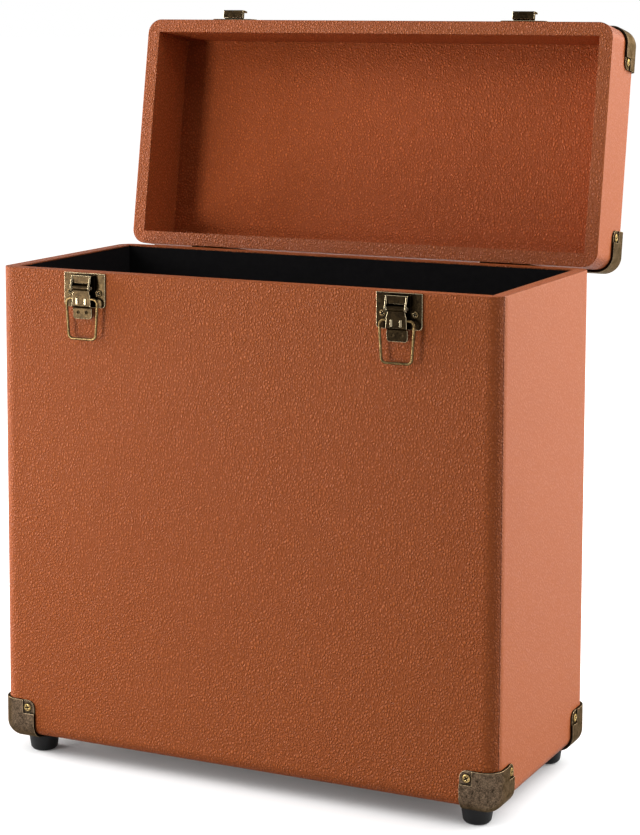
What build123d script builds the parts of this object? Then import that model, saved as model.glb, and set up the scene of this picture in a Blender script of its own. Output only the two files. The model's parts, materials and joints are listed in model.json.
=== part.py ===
from build123d import *
import math
import os

# Record carrying case for twelve-inch records: an open-topped box covered in
# leatherette, with a hinged lid, two draw latches and a carrying handle.
# Millimetres, +Z up, +Y to the back, origin at the middle of the box's
# underside. The lid and the handle are drawn closed and upright, then turned
# to where they rest: the lid open against its hinge stops, the handle hanging.

# Box and lid
CASE_WIDTH = 350.0
CASE_DEPTH = 162.0
BODY_HEIGHT = 314.0
LID_HEIGHT = 52.7
LID_GAP = 0.4
BOARD = 7.5
COVER = 0.8
LINING = 0.7
UPRIGHT_EDGE_RADIUS = 10.0
FLAT_EDGE_RADIUS = 9.0
SIDE_SEAM = 6.0
SEAM_GAP = 0.4
LID_OPEN = 99.5

# Screws and pins
SCREW_SHANK_RADIUS = 1.1
SCREW_BITE = 5.0
SCREW_HEAD_HEIGHT = 1.2
SCREW_HEAD_TAPER = 32.0
CORNER_SCREW_HEAD = 2.6
LATCH_SCREW_HEAD = 2.25
RUNNING_FIT = 0.05
SIDE_PLAY = 0.35

# Corner protectors
PROTECTOR = 1.9
PROTECTOR_TAB = 1.1
PROTECTOR_FRONT_REACH = 23.5
PROTECTOR_SIDE_REACH = 27.0
PROTECTOR_RISE = 25.2
PROTECTOR_LOBE_RADIUS = 5.0
PROTECTOR_POCKET_WIDTH = 8.2
PROTECTOR_POCKET_HEIGHT = 9.0
PROTECTOR_SCREW_INSET = 4.8

# Feet
FOOT_SIDE_INSET = 19.0
FOOT_END_INSET = 18.5
FOOT_TOP_RADIUS = 10.3
FOOT_BOTTOM_RADIUS = 8.6
FOOT_HEIGHT = 11.0
FOOT_EDGE_RADIUS = 3.0
FOOT_RECESS_RADIUS = 3.4
FOOT_FLOOR = 4.5

# Draw latches, measured up from the rim and out from the front face
LATCH_SPREAD = 219.5
LATCH_PLATE_WIDTH = 30.0
LATCH_PLATE_HEIGHT = 22.0
LATCH_PLATE_DROP = 0.7
LATCH_PLATE = 1.0
LATCH_PLATE_CORNER = 2.4
LATCH_SCREW_SPREAD = 21.0
LATCH_SCREW_DROP = 13.4
BRIDGE_TOP = 2.0
BRIDGE_HEIGHT = 5.0
BRIDGE_RISE = 4.2
EAR = 1.0
EAR_RADIUS = 2.2
EAR_DROP = 12.6
LEVER_PIN_RADIUS = 1.0
LEVER_PIVOT_DROP = 9.8
LEVER_PIVOT_OUT = 5.2
LEVER_ROLL_WIDTH = 11.6
LEVER_ROLL_RADIUS = 1.8
LEVER_WIDTH = 13.6
LEVER_SHEET = 1.2
LEVER_FACE_OUT = 5.6
LEVER_SHOULDER = 3.2
LEVER_SHOULDER_LENGTH = 1.5
LEVER_FLARE = 0.5
LEVER_FACE_LENGTH = 11.8
LEVER_TAIL_LENGTH = 8.4
LEVER_TAIL_STEP = 1.5
LEVER_TAIL_CORNER = 1.7
LEVER_LUG_INSET = 0.25
LEVER_LUG_WIDTH = 1.8
LEVER_LUG_DEPTH = 3.2
LEVER_LUG_LENGTH = 5.0
LEVER_LUG_CORNER = 0.6
LEVER_RIB_SPREAD = 6.15
LEVER_RIB = 1.4
LEVER_RIB_LENGTH = 4.0
LEVER_RIB_RISE = 0.5
LEVER_RIB_MARGIN = 1.0
DIMPLE_RADIUS = 1.6
DIMPLE_DEPTH = 0.4
DIMPLE_RISE = 4.2
BAIL_WIRE_RADIUS = 0.9
BAIL_TOP_WIDTH = 23.2
BAIL_BOTTOM_WIDTH = 19.7
BAIL_LENGTH = 26.0
BAIL_BEND_RADIUS = 3.2
BAIL_PIVOT_BELOW_LEVER_PIN = 7.2
BAIL_OVER_CENTRE = 0.8
BAIL_HOLE_DEPTH = 1.4
BAIL_END_PLAY = 0.1

# Catches on the lid
CATCH_WIDTH = 34.0
CATCH_HEIGHT = 14.0
CATCH_CORNER = 3.2
CATCH_RISE = 5.0
CATCH_PLATE = 1.4
CATCH_HOOK_WIDTH = 15.5
CATCH_HOOK_OUT = 7.8
CATCH_HOOK_ROUNDING = 0.5
CATCH_LIP_RISE = 4.2
CATCH_LIP = 1.2
CATCH_PLAY = 0.3
CATCH_UNDERCUT = 1.0
CATCH_UNDERCUT_DEPTH = 2.0
CATCH_SCREW_SPREAD = 26.0
CATCH_SCREW_RISE = 8.5

# Hinges
HINGE_SPREAD = 220.0
HINGE_AXIS_OUT = 5.0
HINGE_AXIS_DROP = 4.5
HINGE_WIDTH = 36.0
HINGE_SHEET = 1.2
HINGE_KNUCKLE_RADIUS = 2.5
HINGE_PIN_RADIUS = 1.25
HINGE_MIDDLE_WIDTH = 15.4
HINGE_LEAF_HEIGHT = 22.0
HINGE_BODY_LEAF_DROP = 8.5
HINGE_LID_LEAF_RISE = 3.0
HINGE_ARM_FOOT = 1.5
HINGE_SCREW_SPREAD = 24.0
HINGE_SCREW_EDGE = 5.0

# Handle on top of the lid
HANDLE_SPREAD = 132.0
HANDLE_PIVOT_RISE = 8.5
HANDLE_PIN_RADIUS = 1.5
HANDLE_EYE_RADIUS = 3.2
HANDLE_EYE_WIDTH = 6.0
HANDLE_ROD_RADIUS = 2.4
HANDLE_HEIGHT = 26.0
HANDLE_BEND_RADIUS = 9.0
FERRULE_LENGTH = 9.0
FERRULE_INSET = 14.0
FERRULE_RIM = 0.8
GRIP_WIDTH = 16.0
GRIP_THICKNESS = 12.0
GRIP_END_SCALE = 0.8
BRACKET_SHEET = 1.2
BRACKET_WIDTH = 16.0
BRACKET_LENGTH = 30.0
BRACKET_CORNER = 2.0
BRACKET_EAR_FOOT = 11.0
BRACKET_SCREW_SPREAD = 20.0

# Derived places
WALL = BOARD + COVER + LINING
RIM = BODY_HEIGHT
LID_RIM = RIM + LID_GAP
LID_TOP = LID_RIM + LID_HEIGHT
HALF_WIDTH = CASE_WIDTH / 2
HALF_DEPTH = CASE_DEPTH / 2
HINGE_Y = HALF_DEPTH + HINGE_AXIS_OUT
HINGE_Z = RIM - HINGE_AXIS_DROP
HANDLE_Z = LID_TOP + HANDLE_PIVOT_RISE
HANDLE_HANG = 180.0 - LID_OPEN
CUT = 2.0


# ---------------------------------------------------------------- basic forms

def slab(x0, x1, y0, y1, z0, z1):
    """Plain block between two opposite corners."""
    with BuildPart() as block:
        with BuildSketch(Plane.XY.offset(z0)):
            with Locations(((x0 + x1) / 2, (y0 + y1) / 2)):
                Rectangle(x1 - x0, y1 - y0)
        extrude(amount=z1 - z0)
    return block.part


def rounded_block(inset, z0, z1):
    """Block this far inside the case's faces, rounded upright and round its bottom."""
    with BuildPart() as block:
        with BuildSketch(Plane.XY.offset(z0)):
            RectangleRounded(
                CASE_WIDTH - 2 * inset, CASE_DEPTH - 2 * inset, UPRIGHT_EDGE_RADIUS - inset
            )
        extrude(amount=z1 - z0)
        fillet(block.faces().sort_by(Axis.Z)[0].edges(), FLAT_EDGE_RADIUS - inset)
    return block.part


def joined(base, *tools, mode=Mode.SUBTRACT):
    """The base with each tool cut away from it, or kept to it."""
    with BuildPart() as piece:
        add(base)
        for tool in tools:
            add(tool, mode=mode)
    return piece.part


def flipped(part, about):
    """Mirror copy of a part."""
    with BuildPart() as copy:
        mirror(part, about=about)
    return copy.part


def boxes_meet(first, second):
    """True where two bounding boxes touch or overlap."""
    a = first.bounding_box(optimal=False)
    b = second.bounding_box(optimal=False)
    return all(
        low <= high
        for low, high in (
            (a.min.X, b.max.X), (b.min.X, a.max.X),
            (a.min.Y, b.max.Y), (b.min.Y, a.max.Y),
            (a.min.Z, b.max.Z), (b.min.Z, a.max.Z),
        )
    )


def drilled(blank, *groups):
    """The blank with a hole for each screw or pin that passes into it."""
    with BuildPart() as piece:
        add(blank)
        for group in groups:
            for solid in group.solids():
                if boxes_meet(blank, solid):
                    add(solid, mode=Mode.SUBTRACT)
    return piece.part


def gathered(*parts):
    """Several loose solids in one node."""
    with BuildPart() as group:
        for part in parts:
            add(part)
    return group.part


def turned(part, y, z, angle):
    """A part turned about an axis along X through (y, z)."""
    return Pos(0, y, z) * Rot(angle, 0, 0) * Pos(0, -y, -z) * part


def front_face(x, out=0.0):
    """Plane on the front at the rim: local x to the right, y up, normal outward."""
    return Plane(origin=(x, -HALF_DEPTH - out, RIM), x_dir=(1, 0, 0), z_dir=(0, -1, 0))


def front_profile(x):
    """Upright plane across the front: local x outward from the face, y up."""
    return Plane(origin=(x, -HALF_DEPTH, RIM), x_dir=(0, -1, 0), z_dir=(-1, 0, 0))


def back_profile(x):
    """Upright plane across the back: local x outward from the face, y up."""
    return Plane(origin=(x, HALF_DEPTH, RIM), x_dir=(0, 1, 0), z_dir=(1, 0, 0))


def rod(centre, direction, radius, length):
    """Round bar centred on a point."""
    with BuildPart() as bar:
        with BuildSketch(Plane(origin=centre, z_dir=direction)):
            Circle(radius)
        extrude(amount=length / 2, both=True)
    return bar.part


def screw(seat, head_radius, reach):
    """Round-head screw on its seat plane, its shank reaching below the plane."""
    with BuildPart() as item:
        with BuildSketch(seat):
            Circle(SCREW_SHANK_RADIUS)
        extrude(amount=-reach)
        with BuildSketch(seat):
            Circle(head_radius)
        extrude(amount=SCREW_HEAD_HEIGHT, taper=SCREW_HEAD_TAPER)
    return item.part


# ------------------------------------------------------------- box and lid

def upside_down(part):
    """A piece of the box turned into the like piece of the lid."""
    return flipped(part, Plane.XY.offset(LID_TOP / 2))


def board_blank(height):
    """The five boards of an open-topped box as one, inside their cover."""
    outside = rounded_block(COVER, COVER, height - COVER)
    inner_x = HALF_WIDTH - COVER - BOARD
    inner_y = HALF_DEPTH - COVER - BOARD
    inside = slab(-inner_x, inner_x, -inner_y, inner_y, COVER + BOARD, height)
    return joined(outside, inside)


def board_regions(height):
    """Where each board lies: front and back full width, sides between, base inside."""
    out_x = HALF_WIDTH + CUT
    out_y = HALF_DEPTH + CUT
    in_x = HALF_WIDTH - COVER - BOARD
    in_y = HALF_DEPTH - COVER - BOARD
    top = height + CUT
    return {
        "front": slab(-out_x, out_x, -out_y, -in_y, -CUT, top),
        "back": slab(-out_x, out_x, in_y, out_y, -CUT, top),
        "left": slab(-out_x, -in_x, -in_y, in_y, -CUT, top),
        "right": slab(in_x, out_x, -in_y, in_y, -CUT, top),
        "flat": slab(-in_x, in_x, -in_y, in_y, -CUT, COVER + BOARD),
    }


def boards(height):
    """The boards of an open-topped box of this height, by place."""
    blank = board_blank(height)
    return {
        place: joined(blank, region, mode=Mode.INTERSECT)
        for place, region in board_regions(height).items()
    }


def cover_blank(height):
    """Leatherette over the outside of a box, turned in over the rim."""
    outside = rounded_block(0, 0, height)
    under = rounded_block(COVER, COVER, height - COVER)
    in_x = HALF_WIDTH - WALL
    in_y = HALF_DEPTH - WALL
    mouth = slab(-in_x, in_x, -in_y, in_y, height - COVER - CUT, height + CUT)
    return joined(outside, under, mouth)


def lining_pan(height):
    """Thin lining over the inside of a box, up to the turned-in cover."""
    out_x = HALF_WIDTH - COVER - BOARD
    out_y = HALF_DEPTH - COVER - BOARD
    in_x = HALF_WIDTH - WALL
    in_y = HALF_DEPTH - WALL
    outside = slab(-out_x, out_x, -out_y, out_y, COVER + BOARD, height - COVER)
    inside = slab(-in_x, in_x, -in_y, in_y, WALL, height)
    return joined(outside, inside)


def body_covers():
    """The box's leatherette in five sheets that meet in seams on the sides and underneath."""
    blank = cover_blank(BODY_HEIGHT)
    seam_y = HALF_DEPTH - SIDE_SEAM
    seam_x = HALF_WIDTH - WALL
    out_x = HALF_WIDTH + CUT
    high = BODY_HEIGHT + CUT
    low = COVER + CUT

    def side(sign, gap):
        near = sign * (seam_x - gap)
        far = sign * out_x
        edge = seam_y + gap
        return slab(min(near, far), max(near, far), -edge, edge, -CUT, high)

    def base(gap):
        half = seam_x - SEAM_GAP + gap
        edge = seam_y + gap
        return slab(-half, half, -edge, edge, -CUT, low)

    wide = [side(-1, SEAM_GAP), side(1, SEAM_GAP), base(SEAM_GAP)]
    halves = {
        "front": slab(-out_x, out_x, -HALF_DEPTH - CUT, 0, -CUT, high),
        "back": slab(-out_x, out_x, 0, HALF_DEPTH + CUT, -CUT, high),
    }
    sheets = {
        place: joined(joined(blank, half, mode=Mode.INTERSECT), *wide)
        for place, half in halves.items()
    }
    sheets["left"] = joined(blank, side(-1, 0), mode=Mode.INTERSECT)
    sheets["right"] = joined(blank, side(1, 0), mode=Mode.INTERSECT)
    sheets["base"] = joined(blank, base(0), mode=Mode.INTERSECT)
    return sheets


# ------------------------------------------------------------- corner protectors

def corner_trim():
    """Block round the front left bottom corner, rounded where two trimmed edges meet."""
    left = -HALF_WIDTH - CUT
    front = -HALF_DEPTH - CUT
    wide = PROTECTOR_FRONT_REACH + CUT
    deep = PROTECTOR_SIDE_REACH + CUT
    high = PROTECTOR_RISE + CUT

    with BuildPart() as trim:
        with BuildSketch(Plane.XY.offset(-CUT)) as plan:
            with Locations((left + wide / 2, front + deep / 2)):
                Rectangle(wide, deep)
            fillet(plan.vertices().group_by(Axis.X)[-1].sort_by(Axis.Y)[-1], PROTECTOR_LOBE_RADIUS)
        extrude(amount=high)
        with BuildSketch(Plane.XZ.offset(-front)) as elevation:
            with Locations((left + wide / 2, -CUT + high / 2)):
                Rectangle(wide, high)
            fillet(elevation.vertices().group_by(Axis.X)[-1].sort_by(Axis.Y)[-1], PROTECTOR_LOBE_RADIUS)
        extrude(amount=-deep, mode=Mode.INTERSECT)
        with BuildSketch(Plane.YZ.offset(left)) as end_view:
            with Locations((front + deep / 2, -CUT + high / 2)):
                Rectangle(deep, high)
            fillet(end_view.vertices().group_by(Axis.X)[-1].sort_by(Axis.Y)[-1], PROTECTOR_LOBE_RADIUS)
        extrude(amount=wide, mode=Mode.INTERSECT)
    return trim.part


def pocket_spans():
    """Where the screw pockets lie along x, y and z at the front left bottom corner."""
    width = PROTECTOR_POCKET_WIDTH
    x_end = PROTECTOR_FRONT_REACH - HALF_WIDTH
    y_end = PROTECTOR_SIDE_REACH - HALF_DEPTH
    return (
        (x_end - width, x_end + CUT),
        (y_end - width, y_end + CUT),
        (PROTECTOR_RISE - PROTECTOR_POCKET_HEIGHT, PROTECTOR_RISE + CUT),
    )


def front_pocket():
    """Step down to the thin tab under the front screw, open to the trimmed edges."""
    along_x, _, along_z = pocket_spans()
    tab = -HALF_DEPTH - PROTECTOR_TAB
    return slab(*along_x, tab - CUT, tab, *along_z)


def side_pocket():
    """The same step under the side screw."""
    _, along_y, along_z = pocket_spans()
    tab = -HALF_WIDTH - PROTECTOR_TAB
    return slab(tab - CUT, tab, *along_y, *along_z)


def flat_pocket():
    """The same step under the flat screw, on the lid's protectors only."""
    along_x, along_y, _ = pocket_spans()
    return slab(*along_x, *along_y, -PROTECTOR_TAB - CUT, -PROTECTOR_TAB)


def protector_blank():
    """Pressed brass shell over the front left bottom corner of the box."""
    skin = rounded_block(-PROTECTOR, -PROTECTOR, BODY_HEIGHT / 2)
    shell = joined(skin, corner_trim(), mode=Mode.INTERSECT)
    return joined(shell, rounded_block(0, 0, BODY_HEIGHT), front_pocket(), side_pocket())


def corner_screw_place(x_sign, y_sign):
    """A protector's screws: x on the front, y on the side, height on both."""
    return (
        x_sign * (HALF_WIDTH - PROTECTOR_FRONT_REACH + PROTECTOR_SCREW_INSET),
        y_sign * (HALF_DEPTH - PROTECTOR_SIDE_REACH + PROTECTOR_SCREW_INSET),
        PROTECTOR_RISE - PROTECTOR_SCREW_INSET,
    )


def corner_seats(x_sign, y_sign):
    """Seat planes of a bottom corner protector's screws on its front or back and its side."""
    x, y, z = corner_screw_place(x_sign, y_sign)
    return [
        Plane(
            origin=(x, y_sign * (HALF_DEPTH + PROTECTOR_TAB), z),
            x_dir=(1, 0, 0), z_dir=(0, y_sign, 0),
        ),
        Plane(
            origin=(x_sign * (HALF_WIDTH + PROTECTOR_TAB), y, z),
            x_dir=(0, 1, 0), z_dir=(x_sign, 0, 0),
        ),
    ]


def flat_seat(x_sign, y_sign):
    """Seat plane of the protector's screw on the lid's top, drawn at the box's bottom."""
    x, y, _ = corner_screw_place(x_sign, y_sign)
    return Plane(origin=(x, y, -PROTECTOR_TAB), x_dir=(1, 0, 0), z_dir=(0, 0, -1))


def corner_screw(seat):
    """Screw through a corner protector and the cover into the board."""
    return screw(seat, CORNER_SCREW_HEAD, PROTECTOR_TAB + COVER + SCREW_BITE)


# ------------------------------------------------------------- feet

def foot_centre(x_sign, y_sign):
    """Middle of a foot."""
    return x_sign * (HALF_WIDTH - FOOT_SIDE_INSET), y_sign * (HALF_DEPTH - FOOT_END_INSET)


def foot_blank(x_sign, y_sign):
    """Tapered rubber foot with a rounded lower edge and a recess for its screw."""
    x, y = foot_centre(x_sign, y_sign)
    top = -PROTECTOR
    bottom = top - FOOT_HEIGHT
    with BuildPart() as foot:
        with BuildSketch(Plane(origin=(x, y, 0), x_dir=(1, 0, 0), z_dir=(0, -1, 0))) as half:
            with BuildLine():
                Polyline(
                    (0, top), (FOOT_TOP_RADIUS, top), (FOOT_BOTTOM_RADIUS, bottom),
                    (FOOT_RECESS_RADIUS, bottom), (FOOT_RECESS_RADIUS, top - FOOT_FLOOR),
                    (0, top - FOOT_FLOOR), close=True,
                )
            make_face()
            fillet(half.vertices().group_by(Axis.Y)[0].sort_by(Axis.X)[-1], FOOT_EDGE_RADIUS)
        revolve(axis=Axis((x, y, 0), (0, 0, 1)))
    return foot.part


def foot_screw(x_sign, y_sign):
    """Screw from the foot's recess into the base board."""
    x, y = foot_centre(x_sign, y_sign)
    seat = Plane(origin=(x, y, -PROTECTOR - FOOT_FLOOR), x_dir=(1, 0, 0), z_dir=(0, 0, -1))
    return screw(seat, CORNER_SCREW_HEAD, FOOT_FLOOR + PROTECTOR + COVER + SCREW_BITE)


# ------------------------------------------------------------- draw latches

def latch_x(sign):
    """Middle of a latch."""
    return sign * LATCH_SPREAD / 2


def latch_plate(x):
    """Pressed plate with two ears for the lever's pin and a bridge between them."""
    ear_x = LEVER_ROLL_WIDTH / 2 + SIDE_PLAY
    with BuildPart() as plate:
        with BuildSketch(front_face(x)) as outline:
            with Locations((0, -LATCH_PLATE_DROP - LATCH_PLATE_HEIGHT / 2)):
                Rectangle(LATCH_PLATE_WIDTH, LATCH_PLATE_HEIGHT)
            fillet(outline.vertices().group_by(Axis.Y)[0], LATCH_PLATE_CORNER)
        extrude(amount=LATCH_PLATE)
        for side in (-1, 1):
            middle = x + side * (ear_x + EAR / 2)
            with BuildSketch(front_profile(middle)):
                with Locations((LATCH_PLATE / 2, -(BRIDGE_TOP + EAR_DROP) / 2)):
                    Rectangle(LATCH_PLATE, EAR_DROP - BRIDGE_TOP)
                with Locations((BRIDGE_RISE + LATCH_PLATE / 2, -BRIDGE_TOP - BRIDGE_HEIGHT / 2)):
                    Rectangle(LATCH_PLATE, BRIDGE_HEIGHT)
                with Locations((LEVER_PIVOT_OUT, -LEVER_PIVOT_DROP)):
                    Circle(EAR_RADIUS)
                make_hull()
            extrude(amount=EAR / 2, both=True)
        with BuildSketch(front_face(x, BRIDGE_RISE)):
            with Locations((0, -BRIDGE_TOP - BRIDGE_HEIGHT / 2)):
                Rectangle(2 * (ear_x + EAR), BRIDGE_HEIGHT)
        extrude(amount=LATCH_PLATE)
    return plate.part


def lever_pin(x):
    """Pin through both ears, flush with their outer faces."""
    length = LEVER_ROLL_WIDTH + 2 * SIDE_PLAY + 2 * EAR
    centre = (x, -HALF_DEPTH - LEVER_PIVOT_OUT, RIM - LEVER_PIVOT_DROP)
    return rod(centre, (1, 0, 0), LEVER_PIN_RADIUS, length)


def bail_pivot():
    """Where the bail turns in the lever: distance out from the front, height over the rim."""
    return LEVER_PIVOT_OUT - BAIL_OVER_CENTRE, -LEVER_PIVOT_DROP - BAIL_PIVOT_BELOW_LEVER_PIN


def lever_outline(x):
    """Front view of the lever: narrow roll, shoulders, face and rounded tail."""
    top = -LEVER_PIVOT_DROP + LEVER_ROLL_RADIUS
    shoulder = -LEVER_PIVOT_DROP - LEVER_SHOULDER
    flare = shoulder - LEVER_SHOULDER_LENGTH
    tail_end = -LEVER_PIVOT_DROP - LEVER_FACE_LENGTH - LEVER_TAIL_LENGTH
    narrow = LEVER_ROLL_WIDTH / 2
    wide = LEVER_WIDTH / 2
    with BuildPart() as outline:
        with BuildSketch(front_face(x)) as view:
            Polygon(
                (-narrow, top), (narrow, top), (narrow, shoulder), (wide - LEVER_FLARE, flare),
                (wide, flare - LEVER_LUG_LENGTH), (wide, tail_end),
                (-wide, tail_end), (-wide, flare - LEVER_LUG_LENGTH),
                (LEVER_FLARE - wide, flare), (-narrow, shoulder), align=None,
            )
            fillet(view.vertices().group_by(Axis.Y)[0], LEVER_TAIL_CORNER)
        extrude(amount=LEVER_PIVOT_OUT + LEVER_ROLL_RADIUS + CUT)
    return outline.part


def lever(x):
    """Lever rolled round its pin, with ribs, a dimpled tail and lugs for the bail's ends."""
    pin = (LEVER_PIVOT_OUT, -LEVER_PIVOT_DROP)
    face_out = LEVER_FACE_OUT
    face_in = face_out - LEVER_SHEET
    face_end = -LEVER_PIVOT_DROP - LEVER_FACE_LENGTH
    tail_out = face_out - LEVER_TAIL_STEP
    tail_in = face_in - LEVER_TAIL_STEP
    tail_top = face_end - LEVER_TAIL_STEP
    tail_end = face_end - LEVER_TAIL_LENGTH
    bail_out, bail_up = bail_pivot()
    lug_x = lug_outer() - LEVER_LUG_WIDTH / 2
    with BuildPart() as body:
        with BuildSketch(front_profile(x)):
            with Locations(pin):
                Circle(LEVER_ROLL_RADIUS)
            Polygon(
                (face_out, -LEVER_PIVOT_DROP), (face_out, face_end),
                (tail_out, tail_top), (tail_out, tail_end), (tail_in, tail_end), (tail_in, tail_top),
                (face_in, face_end), (face_in, -LEVER_PIVOT_DROP), align=None,
            )
        extrude(amount=LEVER_WIDTH / 2, both=True)
        add(lever_outline(x), mode=Mode.INTERSECT)
        for side in (-1, 1):
            with BuildSketch(front_profile(x + side * lug_x)):
                with Locations((face_out - LEVER_LUG_DEPTH / 2, bail_up)):
                    RectangleRounded(LEVER_LUG_DEPTH, LEVER_LUG_LENGTH, LEVER_LUG_CORNER)
            extrude(amount=LEVER_LUG_WIDTH / 2, both=True)
            with BuildSketch(front_profile(x + side * (lug_outer() - BAIL_HOLE_DEPTH / 2 + CUT / 2))):
                with Locations((bail_out, bail_up)):
                    Circle(BAIL_WIRE_RADIUS + RUNNING_FIT)
            extrude(amount=(BAIL_HOLE_DEPTH + CUT) / 2, both=True, mode=Mode.SUBTRACT)
            with Locations((
                x + side * LEVER_RIB_SPREAD / 2,
                -HALF_DEPTH - tail_out - DIMPLE_RADIUS + DIMPLE_DEPTH,
                RIM + tail_end + DIMPLE_RISE,
            )):
                Sphere(DIMPLE_RADIUS, mode=Mode.SUBTRACT)
        with BuildSketch(front_face(x, face_out)):
            with Locations((0, face_end + LEVER_RIB_LENGTH / 2 + LEVER_RIB_MARGIN)):
                with GridLocations(LEVER_RIB_SPREAD, 0, 2, 1):
                    Rectangle(LEVER_RIB, LEVER_RIB_LENGTH)
        extrude(amount=LEVER_RIB_RISE)
        with BuildSketch(front_profile(x)):
            with Locations(pin):
                Circle(LEVER_PIN_RADIUS + RUNNING_FIT)
        extrude(amount=LEVER_WIDTH, both=True, mode=Mode.SUBTRACT)
    return body.part


def lug_outer():
    """Outer face of the lever's lugs, from the lever's middle."""
    return LEVER_WIDTH / 2 - LEVER_LUG_INSET


def bail(x):
    """Wire loop with its ends bent inward into the lever's lugs, hanging down."""
    out, up = bail_pivot()
    end = lug_outer() - BAIL_HOLE_DEPTH + BAIL_END_PLAY
    top = BAIL_TOP_WIDTH / 2
    bottom = BAIL_BOTTOM_WIDTH / 2
    with BuildPart() as loop:
        with BuildLine(front_face(x, out)) as wire:
            FilletPolyline(
                (end, up), (top, up), (bottom, up - BAIL_LENGTH),
                (-bottom, up - BAIL_LENGTH), (-top, up), (-end, up),
                radius=BAIL_BEND_RADIUS,
            )
        with BuildSketch(Plane(origin=wire.line @ 0, z_dir=wire.line % 0)):
            Circle(BAIL_WIRE_RADIUS)
        sweep(path=wire.line)
    return loop.part


def latch_seats(x):
    """Seat planes of a latch plate's two screws."""
    return [
        Plane(
            origin=(x + side * LATCH_SCREW_SPREAD / 2, -HALF_DEPTH - LATCH_PLATE, RIM - LATCH_SCREW_DROP),
            x_dir=(1, 0, 0), z_dir=(0, -1, 0),
        )
        for side in (-1, 1)
    ]


def latch_screw(seat):
    """Screw through a latch plate and the cover into the front board."""
    return screw(seat, LATCH_SCREW_HEAD, LATCH_PLATE + COVER + SCREW_BITE)


# ------------------------------------------------------------- catches

def shelf_top():
    """Top of the catch's shelf over the rim, just under the bail's crossbar when it is up."""
    bail_out, bail_up = bail_pivot()
    return bail_up + BAIL_LENGTH - BAIL_WIRE_RADIUS - CATCH_PLAY


def catch(x):
    """Plate with a block hook, undercut at the plate, whose lip keeps the bail's crossbar."""
    low = LID_GAP + CATCH_RISE
    shelf = shelf_top()
    lip_top = shelf + CATCH_LIP_RISE
    hook_out = CATCH_HOOK_OUT
    hook_in = hook_out - CATCH_LIP
    with BuildPart() as plate:
        with BuildSketch(front_face(x)):
            with Locations((0, low + CATCH_HEIGHT / 2)):
                RectangleRounded(CATCH_WIDTH, CATCH_HEIGHT, CATCH_CORNER)
        extrude(amount=CATCH_PLATE)
        with BuildSketch(front_profile(x)) as section:
            Polygon((0, low), (hook_out, low), (hook_out, lip_top), (hook_in, lip_top),
                    (hook_in, shelf), (0, shelf), align=None)
            fillet(section.vertices().group_by(Axis.X)[-1], CATCH_HOOK_ROUNDING)
        extrude(amount=CATCH_HOOK_WIDTH / 2, both=True)
        with BuildSketch(front_profile(x)):
            with Locations((CATCH_PLATE + CATCH_UNDERCUT / 2, low + CATCH_UNDERCUT_DEPTH / 2)):
                Rectangle(CATCH_UNDERCUT, CATCH_UNDERCUT_DEPTH)
        extrude(amount=CATCH_HOOK_WIDTH / 2, both=True, mode=Mode.SUBTRACT)
    return plate.part


def catch_seats(x):
    """Seat planes of a catch's two screws."""
    return [
        Plane(
            origin=(
                x + side * CATCH_SCREW_SPREAD / 2, -HALF_DEPTH - CATCH_PLATE,
                LID_RIM + CATCH_RISE + CATCH_SCREW_RISE,
            ),
            x_dir=(1, 0, 0), z_dir=(0, -1, 0),
        )
        for side in (-1, 1)
    ]


def catch_screw(seat):
    """Screw through a catch and the cover into the lid's front board."""
    return screw(seat, LATCH_SCREW_HEAD, CATCH_PLATE + COVER + SCREW_BITE)


# ------------------------------------------------------------- hinges

def hinge_x(sign):
    """Middle of a hinge."""
    return sign * HINGE_SPREAD / 2


def hinge_leaf(x, near, far, knuckles):
    """Hinge leaf between two heights over the rim, with knuckles at (offset, width)."""
    foot = near + math.copysign(HINGE_ARM_FOOT / 2, far - near)
    with BuildPart() as leaf:
        with BuildSketch(back_profile(x)):
            with Locations((HINGE_SHEET / 2, (near + far) / 2)):
                Rectangle(HINGE_SHEET, abs(far - near))
        extrude(amount=HINGE_WIDTH / 2, both=True)
        for offset, width in knuckles:
            with BuildSketch(back_profile(x + offset)):
                with Locations((HINGE_SHEET / 2, foot)):
                    Rectangle(HINGE_SHEET, HINGE_ARM_FOOT)
                with Locations((HINGE_AXIS_OUT, -HINGE_AXIS_DROP)):
                    Circle(HINGE_KNUCKLE_RADIUS)
                make_hull()
            extrude(amount=width / 2, both=True)
    return leaf.part


def hinge_body_leaf(x):
    """Leaf on the back of the box, with the two outer knuckles."""
    width = (HINGE_WIDTH - HINGE_MIDDLE_WIDTH) / 2 - SIDE_PLAY
    offset = (HINGE_WIDTH - width) / 2
    near = -HINGE_BODY_LEAF_DROP
    return hinge_leaf(x, near, near - HINGE_LEAF_HEIGHT, [(-offset, width), (offset, width)])


def hinge_lid_leaf(x):
    """Leaf on the back of the lid, with the middle knuckle."""
    near = LID_GAP + HINGE_LID_LEAF_RISE
    return hinge_leaf(x, near, near + HINGE_LEAF_HEIGHT, [(0, HINGE_MIDDLE_WIDTH)])


def hinge_pin(x, fit=0.0):
    """Pin through all three knuckles, or the hole it runs in."""
    return rod((x, HINGE_Y, HINGE_Z), (1, 0, 0), HINGE_PIN_RADIUS + fit, HINGE_WIDTH)


def hinge_seats(x, near, far):
    """Seat planes of a leaf's three screws, two near its far edge and one near its knuckles."""
    inward = math.copysign(HINGE_SCREW_EDGE, far - near)
    half = HINGE_SCREW_SPREAD / 2
    places = [(-half, far - inward), (half, far - inward), (0, near + inward)]
    return [
        Plane(
            origin=(x + offset, HALF_DEPTH + HINGE_SHEET, RIM + up),
            x_dir=(1, 0, 0), z_dir=(0, 1, 0),
        )
        for offset, up in places
    ]


def hinge_screw(seat):
    """Screw through a leaf and the cover into the back board."""
    return screw(seat, LATCH_SCREW_HEAD, HINGE_SHEET + COVER + SCREW_BITE)


# ------------------------------------------------------------- handle

def handle_x(sign):
    """Middle of a handle bracket."""
    return sign * HANDLE_SPREAD / 2


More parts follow.
